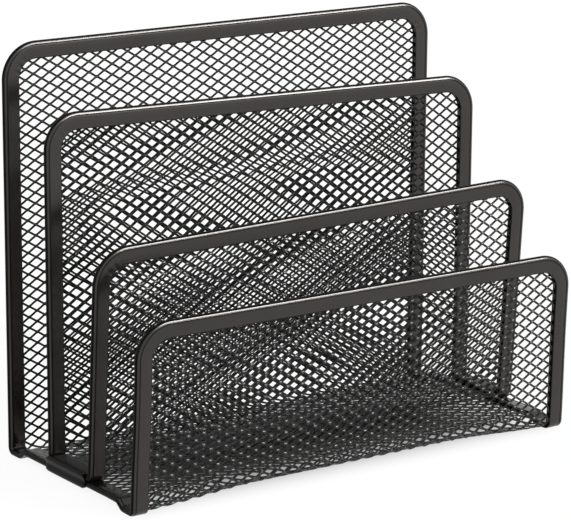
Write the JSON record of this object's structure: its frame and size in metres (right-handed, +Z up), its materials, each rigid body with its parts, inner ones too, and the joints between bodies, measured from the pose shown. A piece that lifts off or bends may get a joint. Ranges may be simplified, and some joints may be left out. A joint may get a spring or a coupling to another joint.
{
  "type": "letter holder",
  "caption": "Black steel mesh letter holder with stepped panels, compartments open at the top and both ends, and folded steel edge bindings.",
  "frame": {"origin": "centre of the footprint at table level", "axes": "+X along the panels to the right end, +Y to the tall rear panel, +Z up"},
  "size_m": [0.1764, 0.0866, 0.1415],
  "materials": {
    "mesh": "semi-gloss black paint on diamond mesh",
    "binding": "satin black paint on folded steel strip",
    "clip": "satin black paint on crimped steel clip"
  },
  "bodies": {
    "root": {"outer_mesh": "mesh", "inner_mesh": "mesh", "outer_binding": "binding", "inner_binding": "binding", "left_clip": "clip", "right_clip": "clip"}
  },
  "joints": []
}
